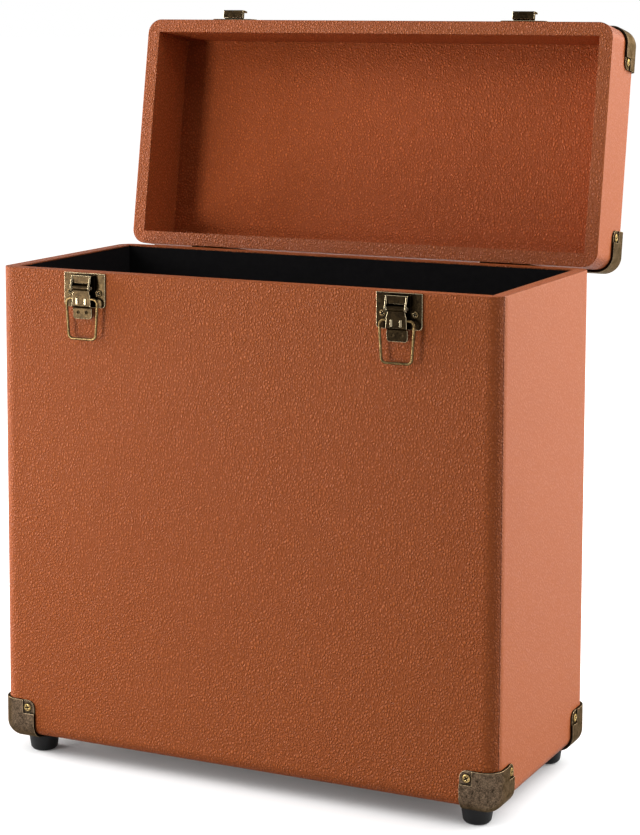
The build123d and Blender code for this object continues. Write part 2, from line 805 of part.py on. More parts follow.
def handle_bracket(x):
    """Base plate on the lid's top with two ears for the handle's pin."""
    ear_x = HANDLE_EYE_WIDTH / 2 + SIDE_PLAY + BRACKET_SHEET / 2
    with BuildPart() as bracket:
        with BuildSketch(Plane.XY.offset(LID_TOP)):
            with Locations((x, 0)):
                RectangleRounded(BRACKET_WIDTH, BRACKET_LENGTH, BRACKET_CORNER)
        extrude(amount=BRACKET_SHEET)
        for side in (-1, 1):
            with BuildSketch(Plane.YZ.offset(x + side * ear_x)):
                with Locations((0, LID_TOP + BRACKET_SHEET / 2)):
                    Rectangle(BRACKET_EAR_FOOT, BRACKET_SHEET)
                with Locations((0, HANDLE_Z)):
                    Circle(HANDLE_EYE_RADIUS)
                make_hull()
            extrude(amount=BRACKET_SHEET / 2, both=True)
    return bracket.part


def handle_pin(x, fit=0.0):
    """Pin through both ears of a bracket, or the hole it runs in."""
    length = HANDLE_EYE_WIDTH + 2 * SIDE_PLAY + 2 * BRACKET_SHEET
    return rod((x, 0, HANDLE_Z), (1, 0, 0), HANDLE_PIN_RADIUS + fit, length)


def bracket_seats(x):
    """Seat planes of a bracket's two screws."""
    return [
        Plane(origin=(x, side * BRACKET_SCREW_SPREAD / 2, LID_TOP + BRACKET_SHEET))
        for side in (-1, 1)
    ]


def bracket_screw(seat):
    """Screw through a bracket and the cover into the lid's top board."""
    return screw(seat, LATCH_SCREW_HEAD, BRACKET_SHEET + COVER + SCREW_BITE)


def handle_end(sign):
    """Eye on the pin, bent rod and ferrule at one end of the upright handle."""
    x = handle_x(sign)
    top = HANDLE_Z + HANDLE_HEIGHT
    ferrule_x = x - sign * FERRULE_INSET
    with BuildPart() as end:
        add(rod((x, 0, HANDLE_Z), (1, 0, 0), HANDLE_EYE_RADIUS, HANDLE_EYE_WIDTH))
        with BuildLine() as bent:
            FilletPolyline((x, 0, HANDLE_Z), (x, 0, top), (ferrule_x, 0, top), radius=HANDLE_BEND_RADIUS)
        with BuildSketch(Plane(origin=bent.line @ 0, z_dir=bent.line % 0)):
            Circle(HANDLE_ROD_RADIUS)
        sweep(path=bent.line)
        with BuildSketch(Plane.YZ.offset(ferrule_x)):
            with Locations((0, top)):
                Ellipse(
                    GRIP_WIDTH * GRIP_END_SCALE / 2 + FERRULE_RIM,
                    GRIP_THICKNESS * GRIP_END_SCALE / 2 + FERRULE_RIM,
                )
        extrude(amount=-sign * FERRULE_LENGTH)
        add(handle_pin(x, RUNNING_FIT), mode=Mode.SUBTRACT)
    return end.part


def handle_grip():
    """Padded leatherette grip, fullest in the middle, between the two ferrules."""
    top = HANDLE_Z + HANDLE_HEIGHT
    end = HANDLE_SPREAD / 2 - FERRULE_INSET - FERRULE_LENGTH
    with BuildPart() as grip:
        for x, scale in ((-end, GRIP_END_SCALE), (0, 1.0), (end, GRIP_END_SCALE)):
            with BuildSketch(Plane.YZ.offset(x)):
                with Locations((0, top)):
                    Ellipse(GRIP_WIDTH * scale / 2, GRIP_THICKNESS * scale / 2)
        loft()
    return grip.part


# ------------------------------------------------------------- assembly

SIDES = {"left": -1, "right": 1}
CORNERS = {
    "front_left": (-1, -1), "front_right": (1, -1), "back_left": (-1, 1), "back_right": (1, 1),
}

foot_screws = gathered(*[foot_screw(*signs) for signs in CORNERS.values()])
body_corner_screws = gathered(
    *[corner_screw(seat) for signs in CORNERS.values() for seat in corner_seats(*signs)]
)
lid_corner_screws = gathered(
    *[
        upside_down(corner_screw(seat))
        for signs in CORNERS.values()
        for seat in corner_seats(*signs) + [flat_seat(*signs)]
    ]
)
latch_screws = gathered(
    *[latch_screw(seat) for sign in SIDES.values() for seat in latch_seats(latch_x(sign))]
)
catch_screws = gathered(
    *[catch_screw(seat) for sign in SIDES.values() for seat in catch_seats(latch_x(sign))]
)
body_leaf_span = (-HINGE_BODY_LEAF_DROP, -HINGE_BODY_LEAF_DROP - HINGE_LEAF_HEIGHT)
lid_leaf_span = (
    LID_GAP + HINGE_LID_LEAF_RISE, LID_GAP + HINGE_LID_LEAF_RISE + HINGE_LEAF_HEIGHT,
)
hinge_body_screws = gathered(
    *[hinge_screw(seat) for sign in SIDES.values() for seat in hinge_seats(hinge_x(sign), *body_leaf_span)]
)
hinge_lid_screws = gathered(
    *[hinge_screw(seat) for sign in SIDES.values() for seat in hinge_seats(hinge_x(sign), *lid_leaf_span)]
)
handle_screws = gathered(
    *[bracket_screw(seat) for sign in SIDES.values() for seat in bracket_seats(handle_x(sign))]
)
lever_pins = gathered(*[lever_pin(latch_x(sign)) for sign in SIDES.values()])
hinge_pins = gathered(*[hinge_pin(hinge_x(sign)) for sign in SIDES.values()])
handle_pins = gathered(*[handle_pin(handle_x(sign)) for sign in SIDES.values()])

body_fasteners = [foot_screws, body_corner_screws, latch_screws, hinge_body_screws]
lid_fasteners = [lid_corner_screws, catch_screws, hinge_lid_screws, handle_screws]

case_pieces = {
    "body_lining": lining_pan(BODY_HEIGHT),
    "foot_screws": foot_screws,
    "body_corner_screws": body_corner_screws,
    "latch_screws": latch_screws,
    "lever_pins": lever_pins,
    "hinge_pins": hinge_pins,
    "hinge_body_screws": hinge_body_screws,
}
lid_pieces = {
    "lid_lining": upside_down(lining_pan(LID_HEIGHT)),
    "lid_cover": drilled(upside_down(cover_blank(LID_HEIGHT)), *lid_fasteners),
    "lid_corner_screws": lid_corner_screws,
    "catch_screws": catch_screws,
    "hinge_lid_screws": hinge_lid_screws,
    "handle_screws": handle_screws,
    "handle_pins": handle_pins,
}
handle_pieces = {"handle_grip": handle_grip()}

for place, board in boards(BODY_HEIGHT).items():
    name = "panel_base" if place == "flat" else f"panel_{place}"
    case_pieces[name] = drilled(board, *body_fasteners)
for place, sheet in body_covers().items():
    case_pieces[f"cover_{place}"] = drilled(sheet, *body_fasteners)
for place, board in boards(LID_HEIGHT).items():
    name = "lid_panel_top" if place == "flat" else f"lid_panel_{place}"
    lid_pieces[name] = drilled(upside_down(board), *lid_fasteners)

corner_shell = protector_blank()
lid_corner_shell = joined(corner_shell, flat_pocket())
for place, (x_sign, y_sign) in CORNERS.items():
    shell = corner_shell
    stepped = lid_corner_shell
    if x_sign > 0:
        shell = flipped(shell, Plane.YZ)
        stepped = flipped(stepped, Plane.YZ)
    if y_sign > 0:
        shell = flipped(shell, Plane.XZ)
        stepped = flipped(stepped, Plane.XZ)
    case_pieces[f"body_corner_{place}"] = drilled(shell, foot_screws, body_corner_screws)
    lid_pieces[f"lid_corner_{place}"] = drilled(upside_down(stepped), lid_corner_screws)
    case_pieces[f"foot_{place}"] = drilled(foot_blank(x_sign, y_sign), foot_screws)

latch_left = latch_x(-1)
hinge_left = hinge_x(-1)
bracket_left = handle_x(-1)
case_left = {
    "latch_plate": drilled(latch_plate(latch_left), latch_screws, lever_pins),
    "latch_lever": lever(latch_left),
    "latch_bail": bail(latch_left),
    "hinge_body_leaf": drilled(hinge_body_leaf(hinge_left), hinge_body_screws, hinge_pins),
}
lid_left = {
    "catch": drilled(catch(latch_left), catch_screws),
    "hinge_lid_leaf": drilled(
        hinge_lid_leaf(hinge_left), hinge_lid_screws, hinge_pin(hinge_left, RUNNING_FIT)
    ),
    "handle_bracket": drilled(handle_bracket(bracket_left), handle_screws, handle_pins),
}
handle_left = {"handle_end": handle_end(-1)}
for family, left_pieces in (
    (case_pieces, case_left), (lid_pieces, lid_left), (handle_pieces, handle_left),
):
    for name, piece in left_pieces.items():
        family[f"{name}_left"] = piece
        family[f"{name}_right"] = flipped(piece, Plane.YZ)

pieces = dict(case_pieces)
for name, piece in lid_pieces.items():
    pieces[name] = turned(piece, HINGE_Y, HINGE_Z, -LID_OPEN)
for name, piece in handle_pieces.items():
    hanging = turned(piece, 0, HANDLE_Z, -HANDLE_HANG)
    pieces[name] = turned(hanging, HINGE_Y, HINGE_Z, -LID_OPEN)

os.makedirs("parts", exist_ok=True)
for name, piece in pieces.items():
    piece.label = name
    export_step(piece, f"parts/{name}.step")
print(len(pieces), "pieces")
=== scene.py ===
import json
import math

import bmesh
import bpy
import numpy as np
from mathutils import Matrix, Vector


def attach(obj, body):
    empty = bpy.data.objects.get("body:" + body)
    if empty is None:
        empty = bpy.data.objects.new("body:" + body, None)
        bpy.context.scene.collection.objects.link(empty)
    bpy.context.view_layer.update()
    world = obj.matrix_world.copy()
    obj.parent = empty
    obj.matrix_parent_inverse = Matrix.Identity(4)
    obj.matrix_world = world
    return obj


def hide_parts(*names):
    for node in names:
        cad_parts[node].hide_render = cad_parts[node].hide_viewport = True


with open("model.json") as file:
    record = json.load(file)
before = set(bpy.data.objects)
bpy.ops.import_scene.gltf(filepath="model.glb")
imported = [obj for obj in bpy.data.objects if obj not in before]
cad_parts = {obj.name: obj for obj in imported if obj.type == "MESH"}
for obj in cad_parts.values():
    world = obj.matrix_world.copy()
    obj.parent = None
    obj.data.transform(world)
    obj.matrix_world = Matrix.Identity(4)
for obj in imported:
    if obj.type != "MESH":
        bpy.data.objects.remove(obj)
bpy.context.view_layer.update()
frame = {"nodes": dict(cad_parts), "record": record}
nodes = frame["nodes"]

# Sizes of the case, in millimetres, with its lid shut. X runs along the front, Y to the
# back and Z up, from the middle of the box's underside.
MM = 0.001
HALF_WIDTH = 175.0
HALF_DEPTH = 81.0
RIM = 314.0
LID_RIM = 314.4
LID_TOP = 367.1
HINGE_AXIS = (86.0, 309.5)
LID_OPEN = 99.5
LATCH_X = 109.75
HINGE_X = 110.0
HANDLE_X = 66.0
SEAM_Y = 75.0
FLOOR_HEIGHT = -12.9

# Ribs on a latch lever: the face that they stand on, their crests and their upper ends, between which the
# crests get a painted highlight
RIB_FACE = -86.7
RIB_CREST = -87.0
RIB_TOP = 298.2

# Corner screws: how far in from the case's side, from its front or back, and from its
# bottom or top. Other screws: their places across each plate, and their heights.
CORNER_SCREW_IN = (18.7, 22.2, 20.4)
LATCH_HOLES, LATCH_HOLE_Z = (-10.5, 10.5), RIM - 13.4
CATCH_HOLES, CATCH_HOLE_Z = (-13.0, 13.0), LID_RIM + 13.5
HINGE_BODY_HOLES = ((-12.0, 288.5), (12.0, 288.5), (0.0, 300.5))
HINGE_LID_HOLES = ((-12.0, 334.4), (12.0, 334.4), (0.0, 322.4))
HANDLE_HOLES = (-10.0, 10.0)
FOOT_X, FOOT_Y, FOOT_SEAT_Z = 156.0, 62.5, -6.4

# Thickness of the metal that a screw's head sits on, and the radius of its head
CORNER_SEAT, LATCH_SEAT, CATCH_SEAT, HINGE_SEAT, HANDLE_SEAT = 1.1, 1.0, 1.4, 1.2, 1.2
CORNER_HEAD = 2.6
PLATE_HEAD = 2.25

# Grip, with the lid open: its middle line, half its length, its section's half width and
# half height, the turns at which its two sewn channels run, and a stitch with its gap
GRIP_Y, GRIP_Z = 165.388, 357.411
GRIP_HALF = 43.0
GRIP_WIDE, GRIP_THICK = 8.0, 6.0
CHANNELS = (0.30 * math.pi, 0.70 * math.pi)
STITCH_PITCH = 3.4


# ---------------------------------------------------------------- camera

def studio_camera():
    """Camera in front of the case and to its right, a little above it, looking slightly down."""
    focal, centre = 2275.19, (290.0, 259.0)
    place = np.array([646.06, -1323.24, 486.45])
    yaw, pitch, roll = (math.radians(angle) for angle in (26.14, 6.46, 0.11))
    image_width, image_height = 640, 835
    ahead = np.array([
        -math.sin(yaw) * math.cos(pitch), math.cos(yaw) * math.cos(pitch), -math.sin(pitch)])
    level = np.array([math.cos(yaw), math.sin(yaw), 0.0])
    down = np.cross(ahead, level)
    right = math.cos(roll) * level - math.sin(roll) * down
    lower = math.sin(roll) * level + math.cos(roll) * down
    data = bpy.data.cameras.new("studio_camera")
    data.sensor_width = 36.0
    data.sensor_fit = "AUTO"
    data.lens = data.sensor_width * focal / image_height
    data.shift_x = (image_width / 2 - centre[0]) / image_height
    data.shift_y = (centre[1] - image_height / 2) / image_height
    data.clip_start, data.clip_end = 0.05, 50.0
    camera = bpy.data.objects.new("studio_camera", data)
    bpy.context.scene.collection.objects.link(camera)
    turn = np.eye(4)
    turn[:3, 0], turn[:3, 1], turn[:3, 2] = right, -lower, -ahead
    turn[:3, 3] = place * MM
    camera.matrix_world = Matrix(turn.tolist())
    bpy.context.scene.camera = camera


# ---------------------------------------------------------------- finishes

def shade(red, green, blue):
    """Colour written as a screen shows it, 0 to 255, as the linear colour a shader takes."""
    steps = np.array([red, green, blue]) / 255.0
    linear = np.where(steps <= 0.04045, steps / 12.92, ((steps + 0.055) / 1.055) ** 2.4)
    return (*linear.tolist(), 1.0)


class Finish:
    """One material built up step by step; each step returns the socket of its result."""

    def __init__(self, name):
        self.material = bpy.data.materials.new(name)
        self.material.use_nodes = True
        self.tree = self.material.node_tree
        self.surface = self.tree.nodes["Principled BSDF"]
        self.place = self.step("ShaderNodeTexCoord", {}, "Object")

    def step(self, kind, inputs, output=0, **settings):
        node = self.tree.nodes.new(kind)
        for key, value in settings.items():
            setattr(node, key, value)
        for key, value in inputs.items():
            self.give(node.inputs[key], value)
        return node.outputs[output]

    def give(self, socket, value):
        if isinstance(value, bpy.types.NodeSocket):
            self.tree.links.new(value, socket)
        else:
            socket.default_value = value

    def noise(self, per_metre, detail, roughness):
        return self.step("ShaderNodeTexNoise", {
            "Vector": self.place, "Scale": per_metre, "Detail": detail, "Roughness": roughness})

    def cells(self, per_metre, place):
        """Distance from the borders of an irregular mosaic."""
        return self.step(
            "ShaderNodeTexVoronoi", {"Vector": place, "Scale": per_metre}, "Distance",
            feature="DISTANCE_TO_EDGE")

    def spread(self, value, low, high, to_low=0.0, to_high=1.0):
        """Smooth step from to_low, up to the value low, to to_high, from the value high."""
        return self.step("ShaderNodeMapRange", {
            "Value": value, "From Min": low, "From Max": high, "To Min": to_low, "To Max": to_high},
            interpolation_type="SMOOTHSTEP")

    def maths(self, operation, a, b=0.0):
        return self.step("ShaderNodeMath", {0: a, 1: b}, operation=operation)

    def axis(self, letter):
        """Coordinate of the place along X, Y or Z, in metres."""
        return self.step("ShaderNodeSeparateXYZ", {"Vector": self.place}, letter)

    def tint(self, share, first, second):
        """First colour where the share is 0, second where it is 1."""
        node = self.tree.nodes.new("ShaderNodeMix")
        node.data_type = "RGBA"
        self.give(node.inputs[0], share)
        self.give(node.inputs[6], first)
        self.give(node.inputs[7], second)
        return node.outputs[2]

    def wander(self, per_metre, reach):
        """The place on the piece, pushed about by a noise, so that a regular pattern grows uneven."""
        push = self.step("ShaderNodeTexNoise", {"Vector": self.place, "Scale": per_metre}, "Color")
        grey = (0.5, 0.5, 0.5)
        centred = self.step("ShaderNodeVectorMath", {0: push, 1: grey}, operation="SUBTRACT")
        scaled = self.step("ShaderNodeVectorMath", {0: centred, "Scale": reach}, operation="SCALE")
        return self.step("ShaderNodeVectorMath", {0: self.place, 1: scaled}, operation="ADD")

    def rounded(self, radius):
        """Normal as if every edge had this radius."""
        return self.step("ShaderNodeBevel", {"Radius": radius}, samples=8)

    def edges(self, reach, low, high):
        """1 along outward folds, where the piece's skin lies close behind, 0 on faces and in hollows."""
        behind = self.step(
            "ShaderNodeAmbientOcclusion", {"Distance": reach}, "AO", inside=True, only_local=True)
        return self.spread(self.maths("SUBTRACT", 1.0, behind), low, high)

    def hollows(self, reach, low, high):
        """1 in corners and under overhangs, where other surfaces stand close in front, 0 in the open."""
        before = self.step("ShaderNodeAmbientOcclusion", {"Distance": reach}, "AO")
        return self.spread(self.maths("SUBTRACT", 1.0, before), low, high)

    def relief(self, height, distance, strength, normal=None):
        """Normal of a surface raised by the height, up to this distance."""
        inputs = {"Height": height, "Distance": distance, "Strength": strength}
        if normal is not None:
            inputs["Normal"] = normal
        return self.step("ShaderNodeBump", inputs)

    def done(self, **sockets):
        for key, value in sockets.items():
            self.give(self.surface.inputs[key.replace("_", " ")], value)
        return self.material


def leatherette(name, main, deep, light, grain=1.0, edge=0.0007, gloss=0.2, seamed=False):
    """Embossed leather cloth: small uneven upright pebbles, a little darker in their creases.

    Its colour drifts a little over the sheet. On the two ends of the case the pebbles are
    pulled nearly flat. Seamed cloth also has a dark line there, where two sheets meet.
    """
    upright = (1.0, 1.0, 0.72)
    finish = Finish(name)
    uneven = finish.step(
        "ShaderNodeVectorMath", {0: finish.wander(500.0, 0.0011), 1: upright}, operation="MULTIPLY")
    pebble = finish.spread(finish.cells(600.0, uneven), 0.02, 0.4)
    small = finish.noise(900.0, 2.0, 0.5)
    height = finish.maths(
        "ADD", finish.maths("MULTIPLY", pebble, 0.7), finish.maths("MULTIPLY", small, 0.5))
    drift = finish.spread(finish.noise(7.0, 2.0, 0.5), 0.3, 0.7)
    colour = finish.tint(finish.maths("MULTIPLY", drift, 0.3), main, light)
    from_middle = finish.maths("ABSOLUTE", finish.axis("X"))
    end = finish.spread(from_middle, (HALF_WIDTH - 0.9) * MM, (HALF_WIDTH - 0.2) * MM)
    embossed = finish.maths("SUBTRACT", grain, finish.maths("MULTIPLY", end, 0.75 * grain))
    crease = finish.maths("MULTIPLY", finish.spread(height, 0.25, 0.85, 0.5, 0.0), embossed)
    colour = finish.tint(crease, colour, deep)
    if seamed:
        from_seam = finish.maths("SUBTRACT", finish.maths("ABSOLUTE", finish.axis("Y")), SEAM_Y * MM)
        line = finish.spread(finish.maths("ABSOLUTE", from_seam), 0.00025, 0.0008, 0.85, 0.0)
        colour = finish.tint(finish.maths("MULTIPLY", line, end), colour, shade(48, 20, 9))
    strength = finish.maths("MULTIPLY", embossed, 0.8)
    normal = finish.relief(height, 0.00092, strength, finish.rounded(edge))
    roughness = finish.spread(height, 0.2, 0.9, 0.66, 0.54)
    return finish.done(Base_Color=colour, Roughness=roughness, Normal=normal, Specular_IOR_Level=gloss)


def antique_metal(
        name, dark, mid, bright, speckle, edge, wear_and_highlight_share, broken=0.55, rough=(0.5, 0.34), fold=0.0003,
        soil_and_shade=(0.0022, 0.22, 0.62), sunk=False, proud=None):
    """Antiqued brass: mottled from dark to mid, bright on outward edges, near black in hollows.

    Speckle is in spots per metre, and edge is the radius that its sharp edges seem to have.
    Within the reach called fold, an outward fold turns bright by a given share, partly as
    polished brass and partly as a painted highlight, and in spots by no more than the share
    called broken of that. Rough holds the roughness of the patina and of the bright metal.
    A tuple after fold holds the reach within which other surfaces shelter the metal, and the
    two shares of shelter between which it darkens, partly as dark patina and partly as
    painted shade. With sunk, the cross of a screw is painted black as shade. Proud holds the
    y of a face, the y of the ribs' crests that stand out from it, which get a painted
    highlight too, and the height at which they end.
    """
    finish = Finish(name)
    patches = finish.spread(finish.noise(speckle * 0.22, 4.0, 0.6), 0.34, 0.68)
    grains = finish.spread(finish.noise(speckle, 3.0, 0.7), 0.36, 0.66)
    patina = finish.maths(
        "ADD", finish.maths("MULTIPLY", patches, 0.4), finish.maths("MULTIPLY", grains, 0.6))
    colour = finish.tint(patina, dark, mid)
    # Outward edges turn bright: partly polished brass, partly a painted highlight along them.
    wear_and_highlight = finish.edges(fold, 0.08, 0.38)
    spotted_share = finish.spread(finish.noise(speckle * 0.5, 2.0, 0.6), 0.32, 0.62, broken * wear_and_highlight_share, wear_and_highlight_share)
    wear_and_highlight = finish.maths("MULTIPLY", wear_and_highlight, spotted_share)
    # Painted highlight: the crests of the lever's ribs, below their upper ends, are made bright as if
    # they caught the lamps.
    if proud:
        face, crests, top = proud
        painted_crest_highlight = finish.spread(finish.axis("Y"), crests, face, 0.16, 0.0)
        below = finish.spread(finish.axis("Z"), top, top + 0.0005, 1.0, 0.0)
        wear_and_highlight = finish.maths("MAXIMUM", wear_and_highlight, finish.maths("MULTIPLY", painted_crest_highlight, below))
    colour = finish.tint(wear_and_highlight, colour, bright)
    # Near black in hollows and under the screws' heads, where other surfaces stand close: partly dark
    # patina, partly painted shade.
    grime_and_shade = finish.maths("MULTIPLY", finish.hollows(*soil_and_shade), 0.92)
    # Painted shade: within a screw's sunk cross the metal is painted near black.
    if sunk:
        cross = finish.step("ShaderNodeAttribute", {}, "Fac", attribute_name="sunk")
        grime_and_shade = finish.maths("MAXIMUM", grime_and_shade, finish.spread(cross, 0.2, 0.6, 0.0, 0.95))
    colour = finish.tint(grime_and_shade, colour, shade(9, 8, 6))
    scratches = finish.noise(speckle * 2.4, 2.0, 0.7)
    normal = finish.relief(scratches, 0.00004, 0.35, finish.rounded(edge))
    patina_rough, rubbed_rough = ((value, value, value, 1.0) for value in rough)
    roughness = finish.tint(wear_and_highlight, patina_rough, rubbed_rough)
    glance = (0.55, 0.5, 0.42, 1.0)
    return finish.done(
        Base_Color=colour, Metallic=1.0, Roughness=roughness, Normal=normal, Specular_Tint=glance)


def bare_board(name):
    """Pressed fibreboard: short pale and brown fibres, quite matt."""
    finish = Finish(name)
    fibres = finish.spread(finish.noise(700.0, 5.0, 0.7), 0.3, 0.7)
    clumps = finish.spread(finish.noise(45.0, 3.0, 0.5), 0.35, 0.65)
    colour = finish.tint(fibres, shade(136, 106, 74), shade(184, 156, 120))
    colour = finish.tint(finish.maths("MULTIPLY", clumps, 0.3), colour, shade(120, 92, 62))
    return finish.done(Base_Color=colour, Roughness=0.85, Normal=finish.relief(fibres, 0.0001, 0.5))


def lining_cloth(name):
    """Black lining cloth: a fine over-and-under weave with a little loose nap."""
    finish = Finish(name)
    thread_pitch = 0.0011
    waves = 2 * math.pi / thread_pitch
    level = finish.maths("ADD", finish.axis("X"), finish.axis("Y"))
    across = finish.maths("SINE", finish.maths("MULTIPLY", level, waves))
    along = finish.maths("SINE", finish.maths("MULTIPLY", finish.axis("Z"), waves))
    weave = finish.spread(finish.maths("MULTIPLY", across, along), -1.0, 1.0)
    nap = finish.spread(finish.noise(240.0, 4.0, 0.7), 0.3, 0.7)
    colour = finish.tint(weave, shade(11, 10, 11), shade(22, 21, 22))
    colour = finish.tint(finish.maths("MULTIPLY", nap, 0.35), colour, shade(30, 28, 28))
    normal = finish.relief(weave, 0.00012, 0.6)
    return finish.done(Base_Color=colour, Roughness=1.0, Normal=normal, Specular_IOR_Level=0.08)


def black_rubber(name):
    """Matt moulded rubber, faintly grey on its worn high places."""
    finish = Finish(name)
    grain = finish.noise(1400.0, 3.0, 0.6)
    dust = finish.spread(finish.noise(120.0, 4.0, 0.6), 0.42, 0.75)
    colour = finish.tint(finish.maths("MULTIPLY", dust, 0.5), shade(10, 10, 11), shade(27, 26, 26))
    normal = finish.relief(grain, 0.00006, 0.4, finish.rounded(0.0004))
    return finish.done(Base_Color=colour, Roughness=0.55, Normal=normal, Specular_IOR_Level=0.2)


def bright_steel(name):
    """Plated steel of the pins and foot screws, lightly brushed."""
    finish = Finish(name)
    brushed = finish.noise(1800.0, 3.0, 0.7)
    colour = finish.tint(finish.spread(brushed, 0.3, 0.7), shade(128, 122, 112), shade(176, 170, 158))
    normal = finish.relief(brushed, 0.00003, 0.4, finish.rounded(0.0003))
    return finish.done(Base_Color=colour, Metallic=1.0, Roughness=0.36, Normal=normal)


def sewing_thread(name):
    """Waxed brown thread with its twist."""
    finish = Finish(name)
    twist = finish.noise(2600.0, 2.0, 0.6)
    colour = finish.tint(finish.spread(twist, 0.35, 0.65), shade(92, 52, 34), shade(140, 88, 62))
    return finish.done(Base_Color=colour, Roughness=0.7, Normal=finish.relief(twist, 0.00008, 0.6))


# ---------------------------------------------------------------- surfaces

def mesh_piece(name, points, rows, columns, material, copies=1):
    """Piece over grids of points. Each copy is a grid of rows by columns, every row a closed ring."""
    grid = np.arange(rows * columns).reshape(rows, columns)
    after = np.roll(grid, -1, axis=1)
    quads = np.stack([grid[:-1], after[:-1], after[1:], grid[1:]], axis=-1).reshape(-1, 4)
    quads = (quads[None] + (np.arange(copies) * rows * columns)[:, None, None]).reshape(-1, 4)
    mesh = bpy.data.meshes.new(name)
    mesh.from_pydata(np.asarray(points, float).reshape(-1, 3).tolist(), [], quads.tolist())
    mesh.validate()
    mesh.update()
    mesh.polygons.foreach_set("use_smooth", np.ones(len(mesh.polygons), bool))
    piece = bpy.data.objects.new(name, mesh)
    bpy.context.scene.collection.objects.link(piece)
    mesh.materials.append(material)
    return piece


def close_poles(piece, merge=0.00001):
    """Merges each ring that has shrunk to a point, turns all faces outward, keeps sharp folds sharp."""
    sharp_fold = math.radians(40.0)
    work = bmesh.new()
    work.from_mesh(piece.data)
    bmesh.ops.remove_doubles(work, verts=work.verts, dist=merge)
    bmesh.ops.recalc_face_normals(work, faces=work.faces)
    work.to_mesh(piece.data)
    work.free()
    piece.data.set_sharp_from_angle(angle=sharp_fold)


def lid_opened(points):
    """Points of the closed lid, turned with it to where it rests, open on its hinges."""
    y, z = HINGE_AXIS
    angle = -math.radians(LID_OPEN)
    turned = points.copy()
    dy, dz = points[..., 1] - y, points[..., 2] - z
    turned[..., 1] = y + dy * math.cos(angle) - dz * math.sin(angle)
    turned[..., 2] = z + dy * math.sin(angle) + dz * math.cos(angle)
    return turned


def screw_points(head, rows, columns):
    """Cross-headed screw of this head radius, its head standing on z = 0 and its shank below.

    The profile runs from the middle of the head over a low dome, down the rim, in under the
    head and down the shank to its tip, and is carried round the axis. Inside the head a
    cross is sunk: each arm is a smooth step in the distance across it times one along it.
    The second array says how far each point is sunk, from 0 to 1.
    """
    below_dome = 8
    rim, rise = 0.55, 0.62
    shank, reach = 1.1, 7.0
    dome = 0.97 * np.linspace(0.0, 1.0, rows - below_dome)
    radius = np.concatenate([
        head * dome, head * np.array([1.0, 1.0, 0.97]), shank * np.array([1.0, 1.0, 0.9, 0.5, 0.0])])
    height = np.concatenate([
        rim + rise * np.sqrt(1.0 - dome ** 2),
        [rim, 0.12, 0.0], [0.0, -reach + 0.6, -reach + 0.3, -reach, -reach]])
    turn = np.linspace(0.0, 2 * np.pi, columns, endpoint=False)
    x = radius[:, None] * np.cos(turn)
    y = radius[:, None] * np.sin(turn)
    z = np.repeat(height[:, None], columns, axis=1)

    def step_down(value, edge, soft):
        share = np.clip((edge + soft - value) / (2 * soft), 0.0, 1.0)
        return share * share * (3 - 2 * share)

    arm, width, depth = head * 0.64, head * 0.17, head * 0.279
    cross = np.maximum(
        step_down(abs(x), arm, 0.22) * step_down(abs(y), width, 0.14),
        step_down(abs(y), arm, 0.22) * step_down(abs(x), width, 0.14))
    deep = depth * cross * (1.0 - 0.35 * np.hypot(x, y) / arm)
    on_top = np.arange(rows) < rows - below_dome
    z = z - deep * on_top[:, None]
    return np.stack([x, y, z], axis=-1), cross * on_top[:, None]


def screws(name, seats, head, node, body, material):
    """One piece for a group of like screws, which stands for the node and rides on the body.

    A seat is a point on the closed case, its outward direction and the turn of its cross.
    The mesh keeps each point's share of the sunk cross, so that the metal can be painted black there as
    shade.
    """
    rows, columns = 26, 64
    shape, cross = screw_points(head, rows=rows, columns=columns)
    copies = []
    for point, outward, turn in seats:
        out = np.array(outward, float)
        side = np.cross(out, [0.0, 0.0, 1.0] if abs(out[2]) < 0.5 else [1.0, 0.0, 0.0])
        side /= np.linalg.norm(side)
        up = np.cross(out, side)
        spin = math.radians(turn)
        first = math.cos(spin) * side + math.sin(spin) * up
        second = np.cross(out, first)
        copies.append(np.array(point, float) + shape @ np.stack([first, second, out]))
    points = np.stack(copies)
    if body == "lid":
        points = lid_opened(points)
    piece = mesh_piece(name, points * MM, rows, columns, material, copies=len(seats))
    # Share of the sunk cross at each point, where the metal paints black shade.
    sunk = piece.data.attributes.new("sunk", "FLOAT", "POINT")
    sunk.data.foreach_set("value", np.tile(cross.ravel(), len(seats)).astype(np.float32))
    close_poles(piece)
    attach(piece, body)
    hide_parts(node)


# ---------------------------------------------------------------- stage and light

def seen_straight(tree):
    """1 for rays from the camera, a mirror or through glass, 0 for light that lights other things."""
    rays = tree.nodes.new("ShaderNodeLightPath")
    seen = rays.outputs["Is Camera Ray"]
    for kind in ("Is Glossy Ray", "Is Transmission Ray"):
        larger = tree.nodes.new("ShaderNodeMath")
        larger.operation = "MAXIMUM"
        tree.links.new(seen, larger.inputs[0])
        tree.links.new(rays.outputs[kind], larger.inputs[1])
        seen = larger.outputs[0]
    return seen


